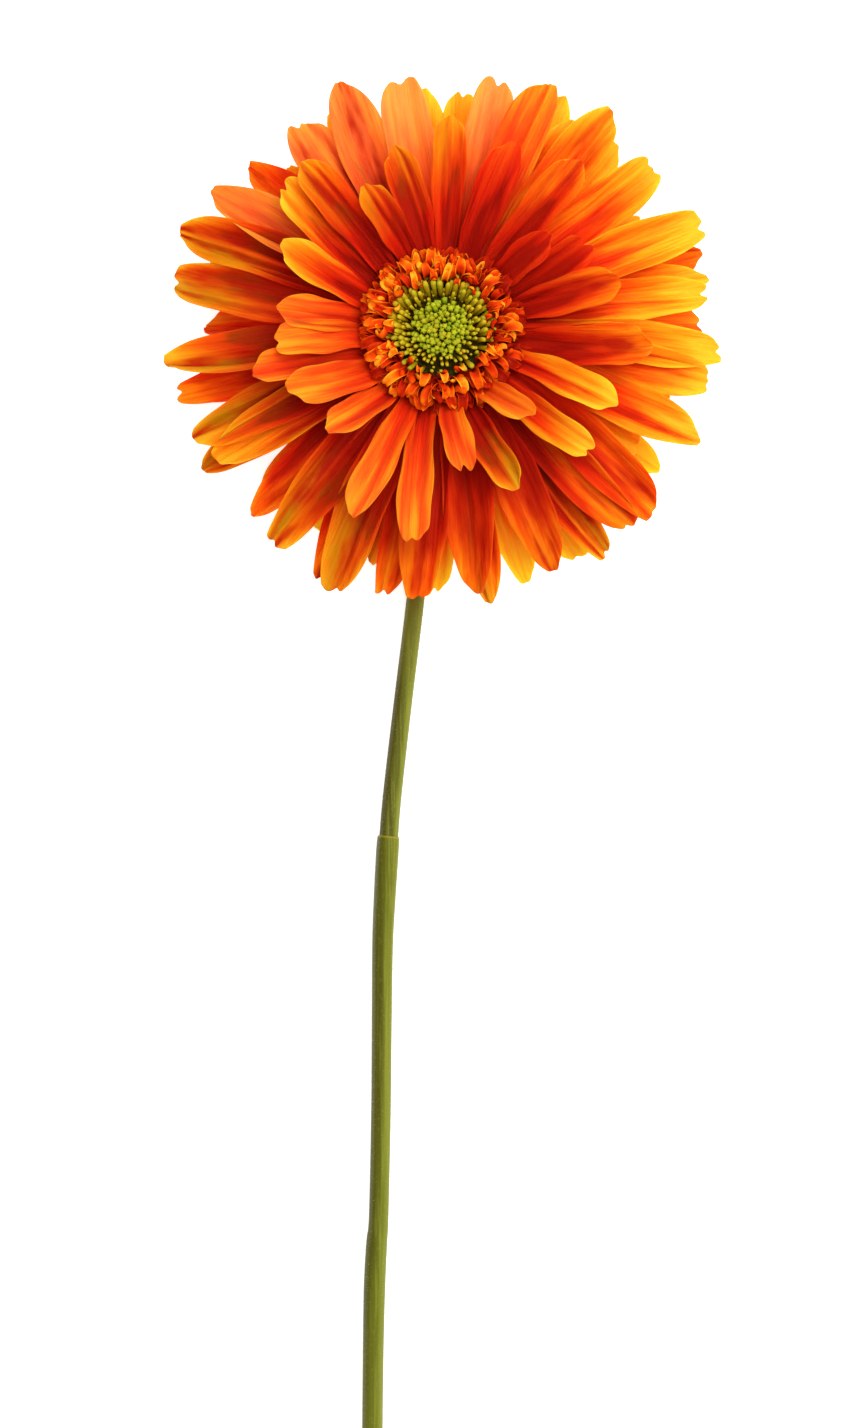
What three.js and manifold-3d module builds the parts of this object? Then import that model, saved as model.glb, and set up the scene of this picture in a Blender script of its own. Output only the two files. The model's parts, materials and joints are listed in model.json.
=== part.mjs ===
// A gerbera daisy, cut and laid face up on a table, with its stem along the table top.
// Millimetres, +Z up. The origin is on the table, under the middle of the whole flower.
// The bloom faces +Z and leans a little to +Y. The stem runs away from it to -Y.
import * as THREE from "three";
import { mergeVertices } from "three/addons/utils/BufferGeometryUtils.js";
import Module from "manifold-3d";

const wasm = await Module();
wasm.setup();

// Where the middle of the bloom stands, seen from above
const BLOOM_AT = { x: -0.6, y: 143.9 };
const BLOOM_LEAN = 10; // degrees from the vertical towards +Y
const GAP = 0.3; // clearance between pieces that touch on the real flower

// Heights in the bloom are measured from the plane where the rays leave the receptacle. The middle of the
// bloom, as seen from above, is where its axis comes out between the small florets, at this height.
const MIDDLE_HEIGHT = 6;
const RECEPTACLE = { radius: 13.5, top: -0.3, bottom: -3.2 };
const INVOLUCRE = { depth: 11.5, rim: 12.0, waist: 6.5, foot: 2.5 };
const TRANS_COLLAR = { inner: 10.8, outer: 14.0, foot: 12.3, top: 3.0 };
const DISC = { radius: 9.3, top: 3.4 };

const RAY_THICK = 0.7;
const RAY_SPAN = 47; // a long ray's length, from its root inside the receptacle
const RAY_ROOT = 11; // how far the roots are from the middle
const RAY_CUP = 0.8; // how far a ray's edges stand above its midrib
const RAY_ROLL = 5; // degrees that a ray turns about its midrib, so that each laps over the next
const NOTCH = 1.5; // how far the notch goes in at the tip of a ray with teeth
const ROUNDING = 1.7; // how far the corners draw back at the tip of a ray without teeth
const FLORET_THICK = 0.9;
const BRACT_THICK = 0.8;

const STEM_SIDES = 12;
const NECK_DROP = 7.5; // from the foot of the involucre down to the height of the stem's axis
const NECK_RADIUS = 1.85;
const NECK_FLARE = 0.35; // what the neck gains where it meets the involucre
const UPPER_END_RADIUS = 2.08;
const SPIGOT = { radius: 1.3, length: 12 };
const CUT_SLANT = 0.8; // how far the cut end slopes along the stem for each unit of height

// The upper stem's axis on the table, seen from above and measured from the middle of the bloom
const UPPER_STEM = [
  { x: -1.0, y: -12 }, { x: -3.1, y: -34 }, { x: -5.6, y: -58.8 }, { x: -8.3, y: -81 },
  { x: -10.6, y: -101 }, { x: -11.4, y: -110.4 },
];

// The lower stem's axis and radius, from the joint to the cut end
const LOWER_STEM = [
  { x: -11.4, y: -110.4, radius: 2.42 }, { x: -11.6, y: -113, radius: 2.5 },
  { x: -12.2, y: -123, radius: 2.42 }, { x: -12.7, y: -134, radius: 2.3 },
  { x: -12.9, y: -152, radius: 2.2 }, { x: -13.1, y: -172, radius: 2.16 },
  { x: -13.6, y: -194, radius: 2.16 }, { x: -14.0, y: -199, radius: 2.3 },
  { x: -14.5, y: -209, radius: 2.36 }, { x: -14.8, y: -224, radius: 2.28 },
  { x: -15.0, y: -245, radius: 2.26 }, { x: -14.9, y: -270, radius: 2.3 },
  { x: -14.3, y: -296, radius: 2.34 }, { x: -13.3, y: -322, radius: 2.4 },
  { x: -12.2, y: -344, radius: 2.44 },
];

// The rays of each whorl, from the back to the front. Bearings are in degrees, clockwise from +Y seen from
// above: [at the root, at the tip, reach of the tip seen from above, width, number of teeth at the tip].
const BACK_RAYS = [
  [5, 5, 52.5, 9, 2], [27, 27.5, 58, 9, 1], [43, 43, 56.5, 9, 1], [58, 58, 50, 9, 2],
  [73, 73, 60, 9.5, 1], [89, 89, 56, 9, 2], [106, 106, 52, 9, 1], [122.5, 122.5, 56.5, 10, 1],
  [136, 136, 56, 9, 2], [149, 149, 58, 9.5, 2], [161, 161, 58, 9.5, 1], [181, 181.5, 57.5, 9.5, 2],
  [197, 197, 53, 9, 1], [212, 212, 51, 9, 1], [226, 226, 53, 9, 2], [240, 239.8, 60, 9.5, 1],
  [256, 256, 55, 9, 2], [271, 271.5, 51.5, 9.5, 1], [287, 287, 53, 9, 1], [302, 302, 52, 9, 2],
  [317.5, 317.5, 49.5, 9, 1], [333.5, 333.5, 53.5, 9, 1], [355.5, 355.5, 53, 9.5, 1],
];
const LOWER_RAYS = [
  [33, 33, 54.5, 9, 1], [61, 61, 47, 9, 1], [78.5, 78.5, 59.5, 9, 1], [89, 89, 56.5, 9.5, 2],
  [121, 121, 50, 9, 2], [144, 144, 61, 8, 2], [169.5, 169.5, 60.5, 9, 1], [191.5, 191.5, 59, 9, 2],
  [206.5, 206.5, 60.5, 9.5, 1], [226, 225, 57.5, 9.5, 1], [256.5, 256, 59, 9, 2], [311, 311, 55.5, 10, 1],
];
const UPPER_RAYS = [
  [12, 12.8, 56.5, 10, 2], [23, 23.5, 58.5, 10.5, 1], [38, 38, 61, 10.5, 1], [52.5, 52.5, 58.5, 10.5, 2],
  [67.5, 68, 61.5, 10.5, 2], [83, 83, 58, 9.5, 2], [95, 95, 60.8, 9.5, 2], [102, 101.3, 59.3, 10, 2],
  [113, 113.5, 61, 10.5, 1], [129, 130.8, 61, 11, 2], [137.5, 136.8, 59.5, 10, 2], [155, 155, 58, 10.5, 1],
  [171, 172.5, 58, 11, 1], [185, 185, 59.2, 10.5, 2], [202, 202, 61.8, 11, 2], [217.5, 217.5, 59.5, 11, 2],
  [239, 239, 56.3, 11.5, 1], [246.5, 245.5, 58.5, 10.5, 1], [263.5, 262.8, 60.2, 10.5, 1],
  [280, 280.4, 59, 11.5, 2], [291, 290.6, 60.7, 10.5, 1], [302, 301, 58.2, 10.5, 1],
  [325.5, 325.3, 55.3, 11, 2], [337.5, 337.7, 58.6, 11, 1], [350.5, 350, 55.3, 11, 2],
];
const INNER_RAYS = [
  [4, 3, 45.7, 7.5, 1], [21, 21, 42.5, 8, 1], [38, 39.5, 46.5, 8.5, 1], [51, 50, 30.5, 7, 1],
  [64, 61, 36.5, 8, 2], [77, 76, 39.5, 8.5, 1], [101, 96, 45.5, 9, 1], [114, 115.3, 41.5, 7.5, 1],
  [134, 130.7, 42.3, 7, 2], [148, 134.5, 28, 6, 1], [163, 155.5, 39, 7, 1], [174, 170, 32.5, 6.5, 2],
  [190, 187.3, 47, 7.5, 2], [203, 204.7, 45.7, 7.5, 1], [215, 227, 33.5, 7, 1], [234, 246, 36, 8.5, 1],
  [252, 255.5, 41.7, 8, 1], [262, 263.3, 36.2, 8.5, 2], [276, 275.3, 35.2, 7.5, 1],
  [288, 296.5, 38.5, 7.5, 1], [307, 312, 46, 9, 2], [317, 319.3, 46.3, 8.5, 1],
  [336, 331.5, 34.7, 7, 1], [348, 344.5, 40, 7.5, 1],
];

// How each whorl leaves the receptacle: the height of its roots, how far the first third rises over them,
// how far the last third arches over the tips, the height of the tips, and where along a ray its rings are
const FEW_RINGS = [0, 0.4, 0.74, 0.92, 1];
const MORE_RINGS = [0, 0.25, 0.5, 0.74, 0.92, 1];
const BACK = { rays: BACK_RAYS, root: -2.3, rise: 0.6, arch: 5.5, tip: -16.5, rings: FEW_RINGS };
const LOWER = { rays: LOWER_RAYS, root: -2.1, rise: 2.2, arch: 4, tip: -9, rings: FEW_RINGS };
const UPPER = { rays: UPPER_RAYS, root: -1.7, rise: 3.6, arch: 3.5, tip: -4, rings: MORE_RINGS };
const INNER = { rays: INNER_RAYS, root: -1.7, rise: 1.3, arch: -0.8, tip: 9, rings: MORE_RINGS };

// The small florets, row by row: how many, and the radius and height of the root, the bend and the tip
const TRANS_ROWS = [
  { count: 25, width: 2.8, root: [12.4, 1.6], bend: [15.6, 4.0], tip: [18.0, 6.6] },
  { count: 22, width: 2.6, root: [12.6, 1.6], bend: [13.9, 5.4], tip: [15.6, 8.2] },
  { count: 18, width: 2.4, root: [12.2, 1.6], bend: [12.0, 5.0], tip: [12.9, 7.4] },
];
const CLUB_ROWS = [
  { count: 22, width: 1.7, root: [8.0, 0.8], bend: [9.2, 3.2], tip: [10.1, 5.4] },
  { count: 18, width: 1.6, root: [6.8, 1.2], bend: [7.6, 4.0], tip: [8.2, 6.2] },
];
const BUDS = { count: 30, spread: 5.5, radius: 0.75, height: 1.6, sunk: 0.5, sides: 4 };
const GOLDEN_ANGLE = 180 * (3 - Math.sqrt(5));

// The bracts of the involucre: the radius and height of the root, the bend and the tip
const BRACT_ROWS = [
  { count: 13, width: 5.6, root: [9.6, -7.4], bend: [12.8, -6.4], tip: [15.6, -6.2] },
  { count: 12, width: 5.2, root: [5.4, -9.8], bend: [9.4, -8.8], tip: [12.6, -8.2] },
];

const UP = new THREE.Vector3(0, 0, 1);
const lean = THREE.MathUtils.degToRad(BLOOM_LEAN);

// A flat side of the lower stem lies on the table, so its axis is this share of its radius above the table
const seat = Math.cos(Math.PI / STEM_SIDES);
const axisHeight = LOWER_STEM[0].radius * seat;
const bloomHeight = axisHeight + NECK_DROP + (INVOLUCRE.depth + GAP) * Math.cos(lean);
const bloomY = -MIDDLE_HEIGHT * Math.sin(lean);

// The same share from 0 to 1 for the same two numbers each time, spread with no visible pattern
function scatter(index, salt) {
  const wave = Math.sin(index * 12.9898 + salt * 78.233) * 43758.5453;
  return wave - Math.floor(wave);
}

// A point of the bloom, in its own coordinates
function onBloom(bearing, radius, height) {
  const turn = THREE.MathUtils.degToRad(bearing);
  return new THREE.Vector3(radius * Math.sin(turn), radius * Math.cos(turn), height);
}

// The same for a bearing and a radius that are read from straight above, where the lean moves what is high
function seenFromAbove(bearing, radius, height) {
  const point = onBloom(bearing, radius, height);
  point.y = (point.y + (MIDDLE_HEIGHT - height) * Math.sin(lean)) / Math.cos(lean);
  return point;
}

// How high the table lies in the bloom's own coordinates
function tableAt(y) {
  return (y * Math.sin(lean) - bloomHeight) / Math.cos(lean);
}

// A closed body through rings of equal length. The rings of a blade go from its left edge over the top to
// its right edge and back underneath, and both of its faces are split into triangles alike.
function loft(rings) {
  const count = rings[0].length;
  const columns = count / 2;
  const faces = [];
  for (let i = 0; i < rings.length - 1; i += 1) {
    for (let j = 0; j < count; j += 1) {
      const a = i * count + j;
      const b = i * count + ((j + 1) % count);
      if (j < columns) {
        faces.push(a, b, b + count, a, b + count, a + count);
      } else {
        faces.push(a, b, a + count, b, b + count, a + count);
      }
    }
  }
  const last = (rings.length - 1) * count;
  for (let j = 0; j < columns - 1; j += 1) {
    const under = count - 1 - j;
    faces.push(j, under, j + 1, j + 1, under, under - 1);
    faces.push(last + j, last + j + 1, last + under, last + j + 1, last + under - 1, last + under);
  }
  const geometry = new THREE.BufferGeometry();
  const corners = rings.flat().flatMap((corner) => corner.toArray());
  geometry.setAttribute("position", new THREE.Float32BufferAttribute(corners, 3));
  geometry.setIndex(faces);
  return geometry;
}

function solid(geometry) {
  const bare = geometry.clone();
  bare.deleteAttribute("normal");
  bare.deleteAttribute("uv");
  const merged = mergeVertices(bare, 1e-4);
  return new wasm.Manifold(
    new wasm.Mesh({
      numProp: 3,
      vertProperties: merged.attributes.position.array,
      triVerts: new Uint32Array(merged.index.array),
    }),
  );
}

function shape(body) {
  const made = body.getMesh();
  const geometry = new THREE.BufferGeometry();
  geometry.setAttribute("position", new THREE.BufferAttribute(made.vertProperties, 3));
  geometry.setIndex(new THREE.BufferAttribute(made.triVerts, 1));
  return geometry;
}

// One body from a core and all that grows out of it
function fuse(geometries) {
  return shape(geometries.map(solid).reduce((whole, piece) => whole.add(piece)));
}

// A turned body round the bloom's axis, from [radius, height] pairs
function turned(pairs, sides) {
  const profile = pairs.map(([radius, height]) => new THREE.Vector2(radius, height));
  return new THREE.LatheGeometry(profile, sides).rotateX(Math.PI / 2);
}

// A ray's half width along it: narrow at the root, widest past the middle, closing to a blunt tip
function fullness(along, blunt) {
  const widest = 0.68;
  const opening = 0.34 + 0.66 * Math.sin((Math.PI / 2) * Math.min(1, along / widest)) ** 1.4;
  const past = Math.max(0, along - widest) / (1 - widest);
  return opening * Math.sqrt(1 - (1 - blunt * blunt) * past * past);
}

// One ray as a thin arched blade. Its midrib is a Bezier curve from inside the receptacle to its tip.
function ray([rootBearing, tipBearing, reach, width, teeth], whorl, index) {
  const span = reach - RAY_ROOT;
  const root = whorl.root + 0.5 * (scatter(index, 3) - 0.5);
  const steeper = Math.max(0, 40 - reach) * 0.1;
  const tip = whorl.tip + steeper + 2.4 * (scatter(index, 1) - 0.5);
  const midrib = new THREE.CubicBezierCurve3(
    seenFromAbove(rootBearing, RAY_ROOT, root),
    seenFromAbove(rootBearing, RAY_ROOT + span * 0.34, root + (whorl.rise * span) / RAY_SPAN),
    seenFromAbove((rootBearing + 2 * tipBearing) / 3, RAY_ROOT + span * 0.68, tip + whorl.arch),
    seenFromAbove(tipBearing, reach, tip),
  );
  const roll = THREE.MathUtils.degToRad(RAY_ROLL + 8 * (scatter(index, 2) - 0.5));
  const notched = teeth > 1;
  const rings = whorl.rings.map((along) => {
    const middle = midrib.getPoint(along);
    const forward = midrib.getTangent(along);
    const side = new THREE.Vector3().crossVectors(forward, UP).normalize();
    side.applyAxisAngle(forward, roll * Math.min(1, along * 3));
    const face = new THREE.Vector3().crossVectors(side, forward);
    const full = fullness(along, notched ? 0.46 : 0.34);
    const end = Math.max(0, along - 0.9) / 0.1;
    const place = (across, lift) => {
      const back = end * (notched ? NOTCH * (1 - Math.abs(across)) : ROUNDING * Math.abs(across));
      return middle
        .clone()
        .addScaledVector(side, (across * full * width) / 2)
        .addScaledVector(face, lift + RAY_CUP * full * Math.min(1, along * 2) * across * across)
        .addScaledVector(forward, -back);
    };
    const pairs = [-1, 0, 1].map((across) => [place(across, RAY_THICK / 2), place(across, -RAY_THICK / 2)]);
    for (const [over, under] of pairs) {
      const lift = Math.max(0, tableAt(under.y) - under.z);
      over.z += lift;
      under.z += lift;
    }
    return [...pairs.map(([over]) => over), ...pairs.map(([, under]) => under).reverse()];
  });
  return loft(rings);
}

// The large strap florets, in four whorls on the edge of the receptacle
function rayFlorets() {
  const { radius, top, bottom } = RECEPTACLE;
  const side = [[radius - 1, bottom], [radius, bottom + 0.8], [radius, top - 0.6], [radius - 0.6, top]];
  const receptacle = turned([[0, bottom], ...side, [0, top]], 24);
  const rays = [BACK, LOWER, UPPER, INNER].flatMap((whorl, layer) =>
    whorl.rays.map((reading, i) => ray(reading, whorl, 100 * layer + i)),
  );
  return fuse([receptacle, ...rays]);
}

// One small floret or bract: a flat strip that bends once, with its tip narrowed. Along it, each entry of
// profile is [share of the way, share of the width].
function strip(row, bearing, thick, profile, wander) {
  const at = ([radius, height]) => onBloom(bearing, radius + wander, height + wander);
  const curve = new THREE.QuadraticBezierCurve3(at(row.root), at(row.bend), at(row.tip));
  const turn = THREE.MathUtils.degToRad(bearing);
  const side = new THREE.Vector3(Math.cos(turn), -Math.sin(turn), 0);
  const rings = profile.map(([along, share]) => {
    const middle = curve.getPoint(along);
    const face = new THREE.Vector3().crossVectors(side, curve.getTangent(along)).normalize();
    const place = (across, lift) =>
      middle
        .clone()
        .addScaledVector(side, (across * share * row.width) / 2)
        .addScaledVector(face, (lift * thick) / 2);
    return [place(-1, 1), place(1, 1), place(1, -1), place(-1, -1)];
  });
  return loft(rings);
}

function rowOf(row, thick, profile, salt, wander) {
  return Array.from({ length: row.count }, (_, i) => {
    const bearing = ((i + 0.5 * salt + 0.35 * (scatter(i, salt) - 0.5)) * 360) / row.count;
    return strip(row, bearing, thick, profile, wander * (scatter(i, salt + 7) - 0.5));
  });
}

// The short curled florets in a ring round the centre
function transFlorets() {
  const { inner, outer, foot, top } = TRANS_COLLAR;
  const outside = [[foot, 0], [outer, 1.6], [outer - 0.9, top]];
  const collar = turned([[inner, 0], ...outside, [inner, top], [inner, 0]], 20);
  const profile = [[0, 0.7], [0.5, 0.85], [0.85, 1], [1, 0.5]];
  const rows = TRANS_ROWS.flatMap((row, i) => rowOf(row, FLORET_THICK, profile, i + 1, 0.6));
  return fuse([collar, ...rows]);
}

// The green centre: a low dome with leaning clubs round its edge and buds in a spiral inside them
function discFlorets() {
  const { radius, top } = DISC;
  const dome = turned([[0, 0], [radius, 0], [radius, 1.2], [7, 2.5], [3.5, top], [0, top]], 20);
  const profile = [[0, 0.6], [0.8, 1], [1, 0.6]];
  const clubs = CLUB_ROWS.flatMap((row, i) => rowOf(row, 1.1, profile, i + 4, 0.4));
  const buds = Array.from({ length: BUDS.count }, (_, i) => {
    const distance = BUDS.spread * Math.sqrt((i + 0.4) / BUDS.count);
    const bud = new THREE.CylinderGeometry(BUDS.radius * 0.6, BUDS.radius, BUDS.height, BUDS.sides);
    const { x, y, z } = onBloom(i * GOLDEN_ANGLE, distance, top + BUDS.height / 2 - BUDS.sunk);
    return bud.rotateX(Math.PI / 2).translate(x, y, z);
  });
  return fuse([dome, ...clubs, ...buds]);
}

// The green cup behind the rays, with two rows of bracts
function involucre() {
  const { depth, rim, waist, foot } = INVOLUCRE;
  const top = RECEPTACLE.bottom - GAP;
  const bowl = turned(
    [[0, -depth], [foot, -depth], [waist, -depth + 1.8], [10.4, -7.2], [rim, -4.8], [rim, top], [0, top]],
    20,
  );
  const profile = [[0, 1], [0.55, 0.9], [1, 0.25]];
  const bracts = BRACT_ROWS.flatMap((row, i) => rowOf(row, BRACT_THICK, profile, i + 8, 0));
  return fuse([bowl, ...bracts]);
}

// The ring of a stem's corners square to its heading, with one flat side underneath where it lies level
function stemRing(middle, heading, radius) {
  const side = new THREE.Vector3().crossVectors(heading, UP).normalize();
  const top = new THREE.Vector3().crossVectors(side, heading).normalize();
  return Array.from({ length: STEM_SIDES }, (_, i) => {
    const angle = Math.PI - ((i + 0.5) * 2 * Math.PI) / STEM_SIDES;
    return middle
      .clone()
      .addScaledVector(side, radius * Math.cos(angle))
      .addScaledVector(top, radius * Math.sin(angle));
  });
}

// A stem's rings through a list of points, each { at, radius }
function stemRings(points) {
  return points.map(({ at, radius }, i) => {
    const before = points[Math.max(0, i - 1)].at;
    const after = points[Math.min(points.length - 1, i + 1)].at;
    return stemRing(at, after.clone().sub(before).normalize(), radius);
  });
}

// The line of the joint between the two stems, which the spigot and its socket share
const jointAt = new THREE.Vector3(LOWER_STEM[0].x, LOWER_STEM[0].y, axisHeight);
const jointHeading = new THREE.Vector3(LOWER_STEM[2].x, LOWER_STEM[2].y, axisHeight).sub(jointAt).normalize();

function rod(from, to, radius) {
  const ends = [from, to].map((distance) => jointAt.clone().addScaledVector(jointHeading, distance));
  return loft(ends.map((end) => stemRing(end, jointHeading, radius)));
}

// From the foot of the involucre round the bent neck, along the table and into the joint
function upperStem() {
  const down = new THREE.Vector3(0, -Math.sin(lean), -Math.cos(lean));
  const top = new THREE.Vector3(0, bloomY, bloomHeight).addScaledVector(down, INVOLUCRE.depth + GAP);
  const floor = UPPER_STEM.map(({ x, y }) => new THREE.Vector3(x, y, axisHeight));
  const elbow = top.clone().addScaledVector(down, NECK_DROP * 0.75);
  const away = floor[0].clone().sub(floor[1]).normalize();
  const neck = new THREE.CubicBezierCurve3(top, elbow, floor[0].clone().addScaledVector(away, 6.5), floor[0]);
  const run = new THREE.CatmullRomCurve3(floor);
  const end = jointAt.clone().addScaledVector(jointHeading, -GAP);
  const path = [...neck.getPoints(9), ...run.getPoints(10).slice(1, -1), end];
  const points = path.map((at, i) => {
    const flare = i === 0 ? NECK_FLARE : 0;
    return { at, radius: NECK_RADIUS + flare + (UPPER_END_RADIUS - NECK_RADIUS) * (i / (path.length - 1)) };
  });
  return fuse([loft(stemRings(points)), rod(-3, SPIGOT.length, SPIGOT.radius)]);
}

// From the joint along the table to the slanting cut
function lowerStem() {
  const rings = stemRings(
    LOWER_STEM.map(({ x, y, radius }) => ({ at: new THREE.Vector3(x, y, radius * seat), radius })),
  );
  for (const corner of rings.at(-1)) {
    corner.y += CUT_SLANT * corner.z;
  }
  const socket = rod(-1, SPIGOT.length + GAP, SPIGOT.radius + GAP);
  return shape(solid(loft(rings)).subtract(solid(socket)));
}

const RAY_FINISH = { color: 0xf4640f, roughness: 0.55, metalness: 0 };
const TRANS_FINISH = { color: 0xe0540f, roughness: 0.6, metalness: 0 };
const DISC_FINISH = { color: 0x8c9a1e, roughness: 0.65, metalness: 0 };
const INVOLUCRE_FINISH = { color: 0x5f7a2c, roughness: 0.6, metalness: 0 };
const UPPER_STEM_FINISH = { color: 0x7d7a33, roughness: 0.5, metalness: 0 };
const LOWER_STEM_FINISH = { color: 0x7a7c38, roughness: 0.5, metalness: 0 };

function piece(name, geometry, finish) {
  const mesh = new THREE.Mesh(geometry, new THREE.MeshStandardMaterial(finish));
  mesh.name = name;
  return mesh;
}

const bloom = new THREE.Group();
bloom.position.set(0, bloomY, bloomHeight);
bloom.rotation.x = -lean;
bloom.add(
  piece("ray_florets", rayFlorets(), RAY_FINISH),
  piece("trans_florets", transFlorets(), TRANS_FINISH),
  piece("disc_florets", discFlorets(), DISC_FINISH),
  piece("involucre", involucre(), INVOLUCRE_FINISH),
);

const flower = new THREE.Group();
flower.position.set(BLOOM_AT.x, BLOOM_AT.y, 0);
flower.add(
  bloom,
  piece("stem_upper", upperStem(), UPPER_STEM_FINISH),
  piece("stem_lower", lowerStem(), LOWER_STEM_FINISH),
);

export default flower;
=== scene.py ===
import json
from math import cos, dist, exp, floor, pi, radians, sin, sqrt, tau

import bpy
from mathutils import Matrix, Vector

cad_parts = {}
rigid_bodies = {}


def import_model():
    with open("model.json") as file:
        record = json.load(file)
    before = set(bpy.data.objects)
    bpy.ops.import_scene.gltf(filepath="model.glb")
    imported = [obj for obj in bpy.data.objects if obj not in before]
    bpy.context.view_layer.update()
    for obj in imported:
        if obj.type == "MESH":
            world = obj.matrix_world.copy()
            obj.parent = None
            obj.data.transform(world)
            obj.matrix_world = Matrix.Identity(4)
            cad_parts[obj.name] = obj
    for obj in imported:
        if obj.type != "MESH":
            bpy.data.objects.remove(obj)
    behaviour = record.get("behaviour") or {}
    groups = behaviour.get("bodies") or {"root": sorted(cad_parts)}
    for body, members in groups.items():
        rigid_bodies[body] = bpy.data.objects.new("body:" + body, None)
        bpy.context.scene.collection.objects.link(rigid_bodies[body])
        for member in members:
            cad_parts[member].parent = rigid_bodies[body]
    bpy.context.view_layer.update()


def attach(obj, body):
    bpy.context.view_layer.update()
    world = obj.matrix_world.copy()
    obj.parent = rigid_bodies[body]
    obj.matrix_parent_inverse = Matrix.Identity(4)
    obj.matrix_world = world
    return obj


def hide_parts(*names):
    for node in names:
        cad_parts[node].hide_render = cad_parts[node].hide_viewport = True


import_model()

# Lower stem
# The lower half of the bare stalk, firm green tissue with faint ribs, lying along the table.
# It swells a little where it starts and again below the middle, and it ends in a slanting cut.
# Its mouth takes the upper stem, and the rim of the mouth shows as a thin pale line of painted highlight.
MM = 0.001
BLOOM_AT = (-0.6, 143.9)  # the middle of the bloom seen from above, in millimetres
SEAT = cos(pi / 12)  # how high a stem's axis lies above the table, as a share of its radius
LOWER_STEM = [
    (-11.4, -110.4, 2.42), (-11.6, -113, 2.5), (-12.2, -123, 2.42), (-12.7, -134, 2.3), (-12.9, -152, 2.2),
    (-13.1, -172, 2.16), (-13.6, -194, 2.16), (-14, -199, 2.3), (-14.5, -209, 2.36), (-14.8, -224, 2.28),
    (-15, -245, 2.26), (-14.9, -270, 2.3), (-14.3, -296, 2.34), (-13.3, -322, 2.4), (-12.2, -344, 2.44),
]  # each (x, y, radius), measured from the middle of the bloom
STEM_SIDES = 36
STEM_STEP = 1.6
RIBS = 7
RIB_DEPTH = 0.02  # as a share of the stem's radius
RIB_TWIST = 0.02  # how far the ribs turn from one ring of corners to the next
MOUTH = [(0.885, 1.4), (0.9, 0.1), (0.945, -0.15), (0.995, -0.02)]  # each (share of the rim's size, depth)
RIM_WIDTH = 0.34
CUT_RINGS = 6  # how many rings of corners the slant of the cut reaches back
CUT_SLANT = 0.8  # how far the cut slopes along the stem for each unit of height
CUT_FACE = (0.97, 0.12)  # the share of the stem's size that its face has, and how far the face stands out
UP = Vector((0, 0, 1))


def from_bloom(x, y, z):
    """A point in metres, from millimetres measured from under the middle of the bloom."""
    return Vector((x + BLOOM_AT[0], y + BLOOM_AT[1], z)) * MM


def eased_rows(rows, step):
    """Rows of numbers eased through the given ones, about one step of millimetres apart."""
    eased = []
    for i in range(len(rows) - 1):
        four = (rows[max(i - 1, 0)], rows[i], rows[i + 1], rows[min(i + 2, len(rows) - 1)])
        count = max(1, round(dist(four[1][:-1], four[2][:-1]) / step))
        for j in range(count):
            t = j / count
            eased.append(tuple(
                0.5 * (2 * b + (c - a) * t + (2 * a - 5 * b + 4 * c - d) * t * t
                       + (3 * b - a - 3 * c + d) * t ** 3)
                for a, b, c, d in zip(*four)
            ))
    return eased + [tuple(rows[-1])]


def stalk_rings(rows):
    """Rings of corners round a stem's axis, none of them below the table. Each row is (x, y, z, radius)."""
    middles = [from_bloom(*row[:3]) for row in rows]
    rings = []
    for i, middle in enumerate(middles):
        heading = (middles[min(i + 1, len(rows) - 1)] - middles[max(i - 1, 0)]).normalized()
        side = heading.cross(UP).normalized()
        top = side.cross(heading)
        ring = []
        for k in range(STEM_SIDES):
            angle = tau * k / STEM_SIDES
            rib = 1 + RIB_DEPTH * cos(RIBS * angle + RIB_TWIST * i)
            corner = middle + (side * cos(angle) - top * sin(angle)) * rows[i][3] * rib * MM
            corner.z = max(corner.z, 0)
            ring.append(corner)
        rings.append(ring)
    return rings


def drawn_in(ring, share, along):
    """The same ring drawn in round its middle to a share of its size, and moved along."""
    middle = sum(ring, Vector()) / len(ring)
    return [middle + (corner - middle) * share + along for corner in ring]


def new_object(name, data):
    """An object of this data in the scene, standing at the origin."""
    made = bpy.data.objects.new(name, data)
    bpy.context.scene.collection.objects.link(made)
    return made


def new_piece(name, corners, faces, *finishes):
    """A smooth mesh object with its place in its mesh."""
    mesh = bpy.data.meshes.new(name)
    mesh.from_pydata(corners, [], faces)
    mesh.polygons.foreach_set("use_smooth", [True] * len(mesh.polygons))
    for finish in finishes:
        mesh.materials.append(finish)
    return new_object(name, mesh)


def skin(rings):
    """Corners and faces of a closed body through rings of equal length, with a middle point at each end."""
    count = len(rings[0])
    corners = [corner for ring in rings for corner in ring]
    faces = []
    for i in range(len(rings) - 1):
        for k in range(count):
            a, b = i * count + k, i * count + (k + 1) % count
            faces.append((a, b, b + count, a + count))
    for ring, start, turn in ((rings[0], 0, -1), (rings[-1], (len(rings) - 1) * count, 1)):
        corners.append(sum(ring, Vector()) / count)
        for k in range(count):
            edge = (start + k, start + (k + 1) % count)
            faces.append((*edge[::turn], len(corners) - 1))
    return corners, faces


def shade(*colour):
    """A colour as the eye reads it, from 0 to 255, as the share of light that it sends back."""
    shares = [value / 255 for value in colour]
    return (*(s / 12.92 if s <= 0.04045 else ((s + 0.055) / 1.055) ** 2.4 for s in shares), 1)


def feed(node, inputs):
    """Joins each of these inputs of a node to a socket or gives it a value."""
    for key, value in inputs.items():
        if isinstance(value, bpy.types.NodeSocket):
            node.id_data.links.new(value, node.inputs[key])
        else:
            node.inputs[key].default_value = value


def wire(tree, kind, inputs=None, **settings):
    """The outputs of a new node with its settings made and its inputs fed."""
    node = tree.nodes.new(kind)
    for key, value in settings.items():
        setattr(node, key, value)
    feed(node, inputs or {})
    return node.outputs


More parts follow.
